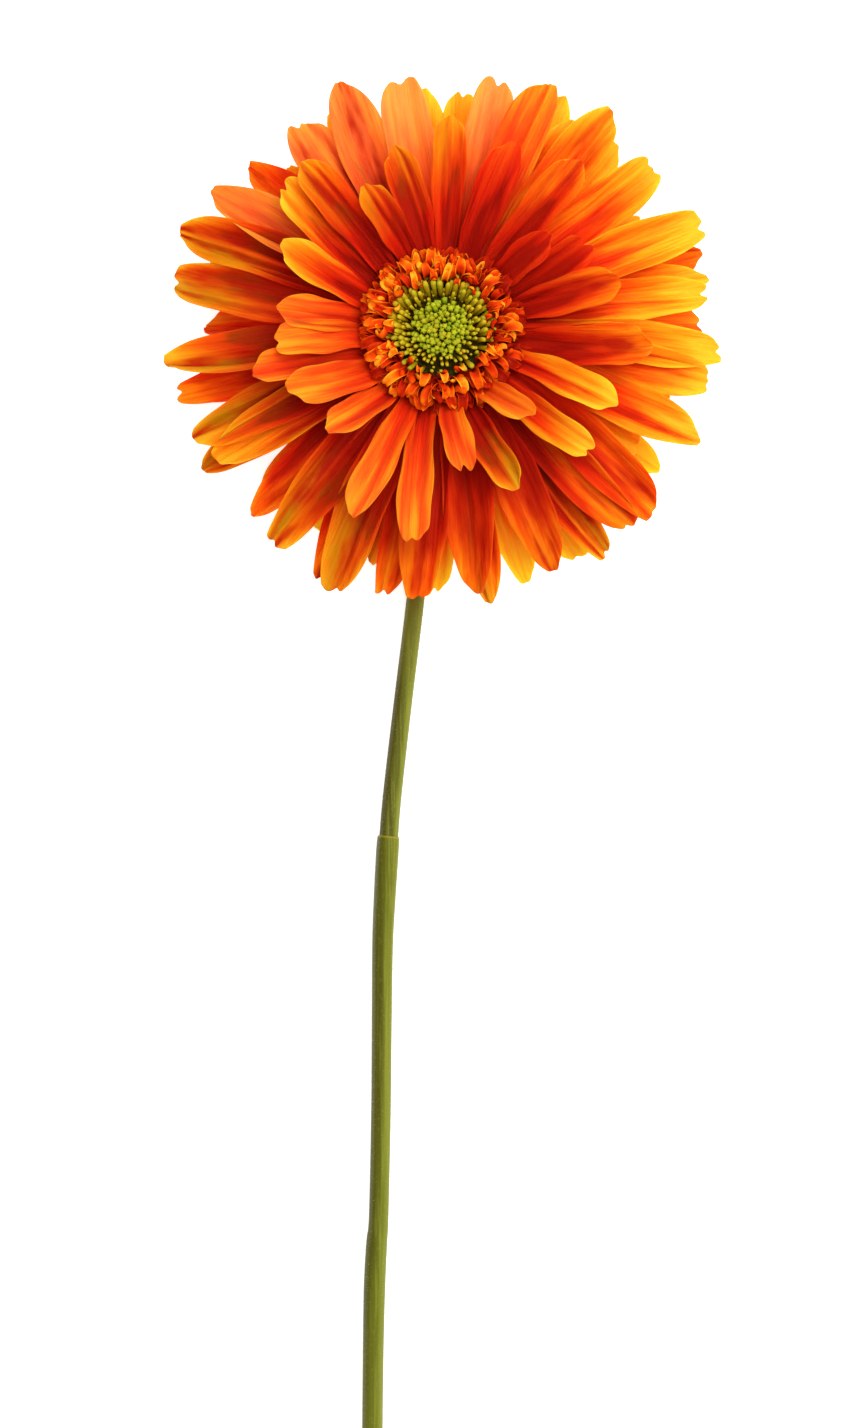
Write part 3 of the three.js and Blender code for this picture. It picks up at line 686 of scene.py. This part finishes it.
def petal(index, whorl, petal_sizes):
    """Corners, faces, places and tones of one petal as a closed thin sheet."""
    _, _, root_height, rise, arch, tip_height, cup = whorl
    root_bearing, tip_bearing, reach, width, teeth, colour = petal_sizes
    ripe, late, pale, dark, olive, heart, patched = RIPENESS[colour]
    luck = [scatter(index, salt) for salt in range(PETAL_DRAWS)]
    span = reach - RAY_ROOT
    root = root_height + 0.5 * (luck[3] - 0.5)
    tip = tip_height + max(0, 40 - reach) * 0.1 + 2.4 * (luck[1] - 0.5)
    midrib = (
        seen_from_above(root_bearing, RAY_ROOT, root),
        seen_from_above(root_bearing, RAY_ROOT + span * 0.34, root + rise * span / RAY_SPAN),
        seen_from_above((root_bearing + 2 * tip_bearing) / 3, RAY_ROOT + span * 0.68, tip + arch),
        seen_from_above(tip_bearing, reach, tip),
    )
    roll = radians(RAY_ROLL + 8 * (luck[2] - 0.5))
    turn = radians(26 * (luck[21] - 0.5))
    inner = whorl[0] == "petals_inner"
    cup *= 0.65 + 0.7 * luck[23]
    roundness = 0.5 + 0.5 * cos(radians(tip_bearing - 25))
    shoulder = (0.74 if inner else 0.58 + 0.1 * roundness) + 0.1 * (luck[24] - 0.5)
    blunt = (0.46 if teeth > 1 else 0.26) + 0.14 * luck[25] + (0.12 if inner else 0)
    taper = (2.6 if inner else 1.8 + roundness) + 0.7 * luck[28]
    slant = 2.2 * (luck[26] - 0.5)
    lap = (1.1 if inner else 0.45) if index % 2 else -0.1
    grooves = [
        (0.46 * side + 0.34 * (luck[5 + side] - 0.5), 1.3 * luck[8 + side] ** 1.4,
         0.1 + 0.2 * luck[31 + side]) for side in (-1, 0, 1)
    ]
    heart_side = 1 if luck[22] > 0.5 else -1
    heart_at = heart_side * (0.1 + 0.4 * luck[29] + (0.35 if olive > 0 and not inner else 0))
    notch_depth = 0.7 + 0.9 * luck[10]
    notches = {1: [], 2: [0.5 * (luck[11] - 0.5)], 3: [-0.34, 0.34]}[teeth]
    wave, wave_start = 1.3 + luck[12], luck[13]
    curl = 0.7 * (luck[14] - 0.7) if inner else 1.6 * (luck[14] - 0.45)
    sway = 2 * (luck[16] - 0.5) * span / RAY_SPAN
    fuller = 0.16 * (luck[17] - 0.5)
    fold_side = 1 if luck[18] > 0.5 else -1
    fold = 2.8 * max(0, luck[19] - 0.4) * (1 if luck[20] > 0.3 else -1) * (1 + 0.6 * olive)
    over, under, places, tones = [], [], [], []
    for i in range(RAY_STATIONS):
        along = 1 - (1 - i / (RAY_STATIONS - 1)) ** 1.25
        middle, forward = bezier(midrib, along)
        side = forward.cross(UP).normalized()
        side = Matrix.Rotation(roll * min(1, along * 3) + turn * along * along, 3, forward) @ side
        face = side.cross(forward)
        full = fullness(along, shoulder, blunt, taper)
        middle += side * sway * sin(pi * along)
        end = max(0, along - 0.86) / 0.14
        body = sin(pi * (0.08 + 0.84 * along)) ** 0.6
        for k in range(RAY_COLUMNS):
            across = 2 * k / (RAY_COLUMNS - 1) - 1
            edge = abs(across)
            half = full * width / 2 * (1 + fuller * across * body)
            half += 0.22 * sin(tau * (along * 2.6 + wave_start) + 2 * across) * edge * body
            notch = sum(hump(across, at, 0.28) for at in notches) * notch_depth
            notch += 0.14 * sin(5.5 * across + 6 * luck[27]) + slant * across
            back = end * end * (notch + 1.3 * edge ** 2.2)
            dips = [(deep, hump(across, at, broad)) for at, deep, broad in grooves]
            streak_and_shade = sum(min(1, deep) * dip for deep, dip in dips) * (1 + 0.7 * olive)
            sunk = sum(deep * dip for deep, dip in dips) * body * width / 10 * (1 + 0.5 * olive)
            flutter = sin(tau * (along * wave + wave_start) + 1.6 * across) * 0.45 * edge ** 2 * along
            lift = cup * full * min(1, along * 2) * edge ** 1.6 * width / 10 - sunk + flutter
            lift += lap * min(1, along * 2.5) + curl * end * end * (0.4 + 0.6 * edge)
            lift += fold * max(0, fold_side * across - 0.2) ** 1.4 * body * width / 8
            at = middle + side * (across * half) + face * lift - forward * back
            thick = EDGE_THICK + (MIDDLE_THICK - EDGE_THICK) * (1 - edge ** 3)
            high, low = at + face * thick / 2, at - face * thick / 2
            raised = max(0, table_at(low.y) + 0.02 - low.z)
            high.z += raised
            low.z += raised
            over.append(high)
            under.append(low)
            places.append((across * half, along * span, 40 * luck[15]))
            distance = RAY_ROOT + along * span
            # the deep red near the root is partly the petal's own colour and partly painted shade under the
            # ring
            ripening = 0.02 + min(1, max(0, (distance - 13) / (reach - 14))) ** (1.4 * late) * (ripe - 0.02)
            # the edges ripen sooner near the tip, partly the petal's own colour and partly painted highlight
            ripening += along * 0.3 * max(0, ripe - 0.6) * edge ** 4 * along
            # partly the petal's own streaks and partly painted shade: the grooves stay redder than the rest
            # of the petal
            ripening += along * (0.04 - (0.16 + 0.16 * olive) * streak_and_shade * dark) * body
            ripening -= heart * hump(across, heart_at, 0.45) * min(1, 2.2 * (1 - along)) * min(1, 4 * along)
            # the darkening in the grooves and in patches is partly own streaks and mottling and partly
            # painted shade
            darker = min(1, streak_and_shade * dark * body + patched * min(1, 2 * along))
            browner = olive * min(1, max(0, 2.8 * along - 1.3))
            browner *= 0.3 + 0.7 * hump(across, -0.5 * heart_side, 0.5)
            paler = pale * min(1, max(0, 1.6 * along - 0.42))
            tones.append((min(max(1, ripe), max(0, ripening)), darker, paler, browner))
    beneath = [(ripe * 0.75, streak_and_shade * 0.5, min(1, pale + 0.5 * ripe), 0) for ripe, streak_and_shade, pale, _ in tones]
    faces = sheet_faces(RAY_STATIONS, RAY_COLUMNS)
    return over + under, faces, places + places, tones + beneath


satin_petal, shader, _ = new_finish("satin petal", 0.45)
at = kept_on(shader, "petal_at", "Vector")
tone = {"Color": kept_on(shader, "petal_tone", "Color")}
ripe, streak_and_shade, pale = wire(shader.id_data, "ShaderNodeSeparateColor", tone)
broad = grain(at, (0.42, 0.05, 1))
streak = grain(at, (0.95, 0.05, 1))
vein = grain(at, (2.4, 0.07, 1))
blotch = grain(at, (0.36, 0.09, 1))
shift = plus(between(broad, 0.3, 0.7, -0.2, 0.2), between(vein, 0.3, 0.7, -0.07, 0.07))
shift = plus(shift, between(streak, 0.3, 0.7, -0.08, 0.08))
ripeness = plus(ripe, times(shift, between(ripe, 0, 0.4, 0.3, 1)))
ripeness = figure("MINIMUM", ripeness, figure("MAXIMUM", ripe, 1))
# the last step, a light lemon, is reached only by the l petals, as painted light
colour = colour_steps(
    figure("DIVIDE", ripeness, RIPEST), (0, 142, 12, 6), (0.08, 198, 28, 8), (0.208, 218, 54, 10),
    (0.336, 232, 86, 11), (0.464, 244, 122, 14), (0.624, 251, 155, 22), (0.8, 253, 184, 38),
    (1, 255, 216, 40),
)
salmon = times(pale, between(streak, 0.35, 0.65, 0.6, 0.95))
olive = times(kept_on(shader, "petal_tone", "Alpha"), between(blotch, 0.3, 0.7, 0.55, 0.95))
# partly own streaks and mottling, partly painted shade: the grooves and patches are tinted dark red
dark_streak_and_shade = times(streak_and_shade, between(blotch, 0.64, 0.38, 0.12, 0.9))
dark_streak_and_shade = times(dark_streak_and_shade, between(ripe, 0.8, 1, 1, 0.5))
colour = tinted(colour, (salmon, (254, 156, 76)), (olive, (156, 122, 8)), (dark_streak_and_shade, (164, 22, 8)))
feed(shader, {
    "Subsurface Weight": 0.7, "Subsurface Radius": (1, 0.4, 0.12), "Subsurface Scale": 0.001,
})
coat(shader, colour, plus(vein, streak), 0.8, 0.0003, 0.06, (1, 0.5, 0.2, 1))

receptacle = new_piece("receptacle", *turned(RECEPTACLE), bract_green)
receptacle.data.transform(BLOOM_PLACE)
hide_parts("ray_florets")
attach(receptacle, "root")
for layer, whorl in enumerate(WHORLS):
    corners, faces, places, tones = [], [], [], []
    for i, petal_sizes in enumerate(whorl[1]):
        made = petal(100 * layer + i, whorl, petal_sizes)
        faces += [tuple(len(corners) + corner for corner in face) for face in made[1]]
        corners += made[0]
        places += made[2]
        tones += made[3]
    petals = new_piece(whorl[0], corners, faces, satin_petal)
    at = petals.data.attributes.new("petal_at", "FLOAT_VECTOR", "POINT")
    at.data.foreach_set("vector", [number for point in places for number in point])
    tone = petals.data.attributes.new("petal_tone", "FLOAT_COLOR", "POINT")
    tone.data.foreach_set("color", [number for point in tones for number in point])
    petals.data.transform(BLOOM_PLACE)
    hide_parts("ray_florets")
    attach(petals, "root")

# Ring of small florets
# The short florets between the petals and the centre, crowded on a low collar of the same tissue.
# They are orange tongues with red bodies and bright rounded tips, and each curls over its own way.
COLLAR_PROFILE = [(10.8, 0), (12.3, 0), (14, 1.6), (13.6, 2.6), (12.6, 3), (10.8, 3)]
# each tongue: its (y, z) points from root to tip, its width, its cup and its sway
TONGUES = [
    ([(0, 0), (0.8, 2), (2.1, 3.4), (3.8, 3.9), (5.2, 3.4), (5.9, 2.5)], 2.7, 0.7, 0.5),
    ([(0, 0), (0.5, 2.2), (1.5, 4.2), (3, 5.2), (4.4, 4.8), (4.9, 3.7)], 2.5, 0.8, -0.7),
    ([(0, 0), (0.3, 2.4), (0.7, 4.6), (1.9, 5.9), (3.2, 5.8), (4, 5.1)], 2.9, 0.6, 0.3),
    ([(0, 0), (0.9, 1.8), (1.7, 3.6), (2, 5.2), (1.5, 6.2)], 2.4, 0.9, -0.3),
    ([(0, 0), (0.3, 2.2), (0.2, 4.2), (1, 5.7), (2.4, 5.7), (2.8, 4.7)], 2.6, -0.7, 0.6),
    ([(0, 0), (1.4, 1.6), (3, 2.2), (4.4, 3.2), (5.6, 4.6)], 2.3, 0.8, -0.5),
]
TONGUE_STEP = 0.45
TONGUE_COLUMNS = 7
TONGUE_THICK = 0.24
TONGUE_SHOULDER = 0.6  # the share of its length at which a tongue is widest
EDGE_GLOW = 0.34  # how much riper a tongue's edges are coloured than its middle, partly own colour and partly painted highlight


def turned_ring(profile):
    """Corners and faces of a hollow ring turned from a loop of (radius, height) pairs."""
    count = len(profile)
    corners, faces = [], []
    for k in range(CUP_SIDES):
        corners += [spoke(radius, tau * k / CUP_SIDES, height) for radius, height in profile]
        a, b = k * count, (k + 1) % CUP_SIDES * count
        for i in range(count):
            faces.append((a + i, b + i, b + (i + 1) % count, a + (i + 1) % count))
    return corners, faces


def tongue_stations(points, width):
    """Stations of a curled tongue through (y, z) points, narrow at the root and rounded at the tip."""
    rows = eased_rows([(y, z, 0) for y, z in points], TONGUE_STEP)
    stations = []
    for i, (y, z, _) in enumerate(rows):
        t = i / (len(rows) - 1)
        opening = 0.45 + 0.55 * sin(pi / 2 * min(1, t / TONGUE_SHOULDER))
        past = max(0, (t - TONGUE_SHOULDER) / (1 - TONGUE_SHOULDER))
        stations.append((y, z, width / 2 * opening * sqrt(max(0.02, 1 - past ** 1.9))))
    return stations


def tongue_finish(name, ripeness):
    """Satin floret skin, dark red low down and orange at the tip, some florets riper than others, with
    painted shade east.
    """
    material, shader, place = new_finish(name, 0.5)
    mottle = grain(place, (700, 700, 700))
    luck = between(kept_on(shader, "luck"), 0, 1, ripeness - 0.42, ripeness + 0.36)
    ripe = plus(plus(kept_on(shader, "tip"), luck), between(mottle, 0.3, 0.7, -0.12, 0.12))
    # painted shade and light: florets on the east side of the ring are coloured redder, those on the west
    # riper
    ripe = plus(ripe, between(axis(place, 0), -0.02, 0.02, 0.08, -0.1))
    colour = colour_steps(
        ripe, (0, 140, 14, 4), (0.3, 186, 32, 4), (0.55, 214, 62, 6), (0.78, 240, 108, 10),
        (1, 254, 164, 30),
    )
    coat(shader, colour, mottle, 0.25, 0.0002, 0.1, (1, 0.5, 0.2, 1))
    return material


inner_orange = tongue_finish("orange floret", -0.03)
# painted shade: the outer rows and the collar take a redder, darker copy of the orange floret for the shade
# round the ring
shaded_outer_red = tongue_finish("red orange floret in painted shade", -0.38)
FLORET_ROWS = [
    (58, 13.7, 0.7, 0.44, 0.64, 11, shaded_outer_red), (56, 13.3, 1.2, 0.3, 0.72, 12, shaded_outer_red),
    (54, 12.8, 1.8, 0.22, 0.78, 13, shaded_outer_red), (50, 12.3, 2.3, 0.16, 0.8, 14, inner_orange),
    (46, 11.8, 2.6, 0.05, 0.76, 15, inner_orange), (40, 11.4, 2.7, -0.15, 0.7, 16, inner_orange),
    (34, 11.0, 2.6, -0.45, 0.58, 17, inner_orange),
]
made = []
for points, width, cup, sway in TONGUES:
    corners, faces, lengths = strap(tongue_stations(points, width), TONGUE_COLUMNS, TONGUE_THICK, cup)
    swayed = [corner + Vector((sway * sin(4.4 * t), 0, 0)) for corner, t in zip(corners, lengths)]
    tones = [t + EDGE_GLOW * (corner.x / (width / 2)) ** 2 - 0.1 for corner, t in zip(corners, lengths)]
    made.append((swayed, faces, tones))
tongue_shapes = shapes("tongue", made)
ring_florets = new_piece("ring_florets", *turned_ring(COLLAR_PROFILE), shaded_outer_red)
grow_rows(ring_florets, "count radius height lean size seed finish", FLORET_ROWS,
          lean_spread=0.26, wander=0.4, size_spread=0.2, twist_spread=0.6, shapes=tongue_shapes)
settle(ring_florets, BLOOM_PLACE)
clear(tongue_shapes)
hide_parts("trans_florets")
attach(ring_florets, "root")

# Green centre
# The tight yellow-green middle: a low dome of young tissue, painted near black as shade, a mound of round
# lobed buds on it, and a wall of taller finger-shaped florets round the mound, which stand close at the top
# and sparse at the bottom.
DOME_PROFILE = [
    (10.8, 0), (11, 0.15), (10.8, 0.3), (9.3, 0.5), (8.4, 0.9), (7, 1.7), (5.6, 2.6), (3.5, 3.2),
    (1.5, 3.4),
]
# each club and bud: its (height, radius) rings and how deep the folds between its lobes are
CLUBS = [
    ([(0, 0.42), (1.6, 0.5), (3, 0.6), (4.2, 0.72), (4.9, 0.66), (5.25, 0.34)], 0.12),
    ([(0, 0.4), (1.4, 0.46), (2.8, 0.56), (3.8, 0.66), (4.4, 0.6), (4.7, 0.3)], 0.3),
    ([(0, 0.44), (1.8, 0.54), (3.4, 0.64), (4.6, 0.78), (5.2, 0.7), (5.55, 0.38)], 0.4),
]
BUDS = [
    ([(0, 0.4), (0.7, 0.64), (1.1, 0.76), (1.45, 0.7), (1.7, 0.4)], 0.5),
    ([(0, 0.36), (0.6, 0.62), (1, 0.74), (1.3, 0.7), (1.5, 0.42)], 0.66),
    ([(0, 0.4), (0.8, 0.6), (1.3, 0.68), (1.7, 0.6), (1.9, 0.32)], 0.56),
]
CLUB_LOBES = 4
BUD_LOBES = 5
# the last but one number of a row is how sparse it is at the bottom, or at the top where it is negative
CLUB_ROWS = [
    (40, 8.1, 0.3, 0.84, 0.98, 0.95, 31), (38, 7.8, 0.7, 0.7, 0.98, 0.95, 32),
    (34, 7.4, 1.0, 0.54, 0.92, 0.95, 33), (34, 8.6, -0.3, 0.3, 0.66, 0.5, 35),
    (36, 7.9, -0.3, 0.28, 0.56, 0.75, 36), (30, 7.3, -0.2, 0.2, 0.46, 0.85, 37),
    (36, 6.4, 1.3, 0.62, 0.62, -0.9, 38), (32, 5.8, 1.6, 0.45, 0.6, -0.9, 39),
]
GOLDEN_ANGLE = pi * (3 - sqrt(5))


def knob(rings, lobe_depth, lobes):
    """A closed knob round the z axis from (height, radius) rings, drawn in between its lobes."""
    sides = 2 * lobes
    made = []
    for i, (height, radius) in enumerate(rings):
        ring = []
        for k in range(sides):
            angle = tau * k / sides
            share = 1 - lobe_depth * (0.5 + 0.5 * cos(lobes * angle)) * i / (len(rings) - 1)
            ring.append(spoke(radius * share, angle, height))
        made.append(ring)
    corners, faces = skin(made)
    return corners, faces, [max(0, corner.z / rings[-1][0]) for corner in corners]


bud_finish, shader, place = new_finish("yellow green bud", 0.55)
along, luck = kept_on(shader, "tip"), kept_on(shader, "luck")
mottle = grain(place, (900, 900, 900))
patch = grain(place, (230, 230, 230), detail=1)
# painted shade: the buds darken to near black at their feet, and the dome, which keeps no tip, takes that
# darkest step
colour = colour_steps(along, (0, 36, 24, 3), (0.45, 88, 94, 4), (0.8, 142, 150, 14), (1, 176, 176, 36))
colour = tinted(
    colour, (times(along, between(patch, 0.4, 0.6, 0, 0.6)), (178, 158, 24)),
    (times(along, between(luck, 0.5, 1, 0, 0.6)), (104, 136, 22)),
    (between(mottle, 0.5, 0.8, 0, 0.3), (84, 96, 8)),
)
coat(shader, colour, mottle, 0.8, 0.0003, 0.15, (0.9, 1, 0.3, 1))
club_finish, shader, place = new_finish("olive yellow floret", 0.5)
along, luck = kept_on(shader, "tip"), kept_on(shader, "luck")
mottle = grain(place, (900, 900, 900))
# the clubs darken towards their feet, partly their own colour and partly painted shade where they crowd
colour = colour_steps(along, (0, 76, 44, 1), (0.4, 150, 112, 6), (0.75, 176, 147, 14), (1, 198, 170, 34))
colour = tinted(colour, (times(along, between(luck, 0.3, 1, 0, 0.45)), (146, 162, 30)))
coat(shader, colour, mottle, 0.8, 0.0003, 0.15, (0.9, 1, 0.3, 1))
club_shapes = shapes("club", [knob(*club, CLUB_LOBES) for club in CLUBS])
bud_shapes = shapes("bud", [knob(*bud, BUD_LOBES) for bud in BUDS])


def mound_tree():
    """Buds on the dome, each a golden angle on from the one before and a little farther out."""
    tree, sizes, result = new_tree(
        "mound of buds", Int="Count, Seed", Collection="Shapes", Material="Finish",
        Float="Spread, Top, Fall, Size",
    )
    seed = sizes["Seed"]
    index = wire(tree, "GeometryNodeInputIndex")[0]
    bearing = times(index, GOLDEN_ANGLE)
    share = figure("DIVIDE", plus(index, 0.5), sizes["Count"])
    radius = times(figure("SQRT", share), sizes["Spread"])
    east = plus(times(figure("SINE", bearing), radius), chance(-0.22, 0.22, seed, 5))
    north = plus(times(figure("COSINE", bearing), radius), chance(-0.22, 0.22, seed, 6))
    height = figure("SUBTRACT", sizes["Top"], times(times(radius, radius), sizes["Fall"]))
    height = plus(height, chance(-0.25, 0.25, seed, 1))
    tilt = chance(-0.2, 0.2, seed, 2)
    turn = (plus(times(radius, -0.1), tilt), tilt, times(bearing, -1))
    size = times(sizes["Size"], chance(0.8, 1.25, seed, 3))
    repeat(sizes, result, (east, north, height), turn, size, 4)
    return tree


green_centre = new_piece("green_centre", *turned(DOME_PROFILE), bud_finish)
grow(green_centre, mound_tree(), count=122, spread=5.7, top=3.5, fall=0.03, size=0.94, seed=21,
     shapes=bud_shapes, finish=bud_finish)
grow_rows(green_centre, "count radius height lean size sparse seed", CLUB_ROWS,
          lean_spread=0.12, wander=0.3, size_spread=0.1, twist_spread=0.12, shapes=club_shapes,
          finish=club_finish)
settle(green_centre, BLOOM_PLACE)
clear(club_shapes, bud_shapes)
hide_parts("disc_florets")
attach(green_centre, "root")

# Hairs
# The fine pale down of the stems and of the involucre, short hairs that stand almost straight up.
# They grow out of the skin and are paler than it.
HAIR_LENGTH = 0.0004  # in metres, like the next three
HAIR_ROOT = 0.000015
HAIR_TIP = 0.000004
HAIR_FLOOR = (-1, -1, 0.00002)  # the least x, y and z of a hair, which keep it just above the table
HAIR_LEAN = 0.5  # how far the hairs lean at most either way, in radians
DOWN = [
    ("lower_stem_hairs", lower_stem, 2200000.0, 41, "stem_lower"),
    ("upper_stem_hairs", upper_stem, 2200000.0, 42, "stem_upper"),
    ("involucre_hairs", involucre, 1500000.0, 43, "involucre"),
]  # each (name, piece, hairs to a square metre, seed, slot)


def hair_tree():
    """Short three-sided hairs spread over a surface, in place of the surface itself."""
    tree, sizes, result = new_tree("down", Int="Seed", Float="Density", Material="Finish")
    seed = sizes["Seed"]
    spread = wire(tree, "GeometryNodeDistributePointsOnFaces", {
        "Mesh": sizes["Geometry"], "Density": sizes["Density"], "Seed": seed,
    })
    cone = wire(tree, "GeometryNodeMeshCone", {
        "Vertices": 3, "Side Segments": 1, "Fill Segments": 1, "Radius Top": HAIR_TIP,
        "Radius Bottom": HAIR_ROOT, "Depth": HAIR_LENGTH,
    })["Mesh"]
    lean = wire(tree, "FunctionNodeRandomValue", {
        0: (-HAIR_LEAN, -HAIR_LEAN, 0), 1: (HAIR_LEAN, HAIR_LEAN, 6.28), "Seed": plus(seed, 7),
    }, data_type="FLOAT_VECTOR")[0]
    leaning = wire(tree, "FunctionNodeRotateRotation", {
        "Rotation": spread["Rotation"], "Rotate By": lean,
    }, rotation_space="LOCAL")[0]
    hairs = wire(tree, "GeometryNodeInstanceOnPoints", {
        "Points": spread["Points"], "Instance": cone, "Rotation": leaning,
        "Scale": chance(0.6, 1.2, seed, 8),
    })[0]
    at = {0: wire(tree, "GeometryNodeInputPosition")[0], 1: HAIR_FLOOR}
    lifted = wire(tree, "ShaderNodeVectorMath", at, operation="MAXIMUM")[0]
    above = {"Geometry": finished(tree, hairs, sizes["Finish"]), "Position": lifted}
    feed(result, {0: wire(tree, "GeometryNodeSetPosition", above)[0]})
    return tree


down_finish, shader, place = new_finish("pale down", 0.5)
mottle = between(grain(place, (400, 400, 400), detail=1), 0.4, 0.6)
feed(shader, {"Base Color": tinted((196, 196, 128), (mottle, (164, 166, 88)))})
hair_growth = hair_tree()
for name, skin_piece, density, seed, slot in DOWN:
    hairs = new_object(name, skin_piece.data.copy())
    grow(hairs, hair_growth, density=density, seed=seed, finish=down_finish)
    settle(hairs)
    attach(hairs, "root")

# Table top, light and camera
# A plain white table top, a large soft lamp high over the flower and a little to the upper right of it,
# and a pale room round them. The camera looks straight down on the flower, which lies on its back.
TABLE_HALF = 6
LAMP_SIZE = 1
LAMP_ENERGY = 14.2
LAMP_OFFSET = Vector((0.3, 0.28, 0.98))  # from a point in the middle of the bloom
ROOM_STRENGTH = 0.54
CAMERA_AT = (-0.00406, 0.06045, 1.22)
CAMERA_LENS = 140
table_finish, shader, _ = new_finish("white table", 0.85)
feed(shader, {
    "Base Color": (0.9, 0.9, 0.9, 1), "Specular IOR Level": 0.1, "Emission Color": (1, 1, 1, 1),
    "Emission Strength": 0.7,
})
table_corners = [
    Vector((x * TABLE_HALF, y * TABLE_HALF, 0)) for x, y in ((-1, -1), (1, -1), (1, 1), (-1, 1))
]
table_top = new_piece("table_top", table_corners, [(0, 1, 2, 3)], table_finish)

bloom_middle = from_bloom(0, 0, 20)
lamp_data = bpy.data.lights.new("soft lamp", "AREA")
lamp_data.shape = "DISK"
lamp_data.size = LAMP_SIZE
lamp_data.energy = LAMP_ENERGY
lamp = new_object("soft lamp", lamp_data)
lamp.location = bloom_middle + LAMP_OFFSET
lamp.rotation_euler = (bloom_middle - lamp.location).to_track_quat("-Z", "Y").to_euler()

room = bpy.data.worlds.new("pale room")
room.use_nodes = True
feed(room.node_tree.nodes["Background"], {"Color": (1, 1, 1, 1), "Strength": ROOM_STRENGTH})
bpy.context.scene.world = room

camera_data = bpy.data.cameras.new("camera over the table")
camera_data.lens = CAMERA_LENS
camera_data.sensor_width = 36
camera_data.clip_end = 20
camera = new_object("camera over the table", camera_data)
camera.location = CAMERA_AT
bpy.context.scene.camera = camera
bpy.context.scene.view_settings.view_transform = "Standard"
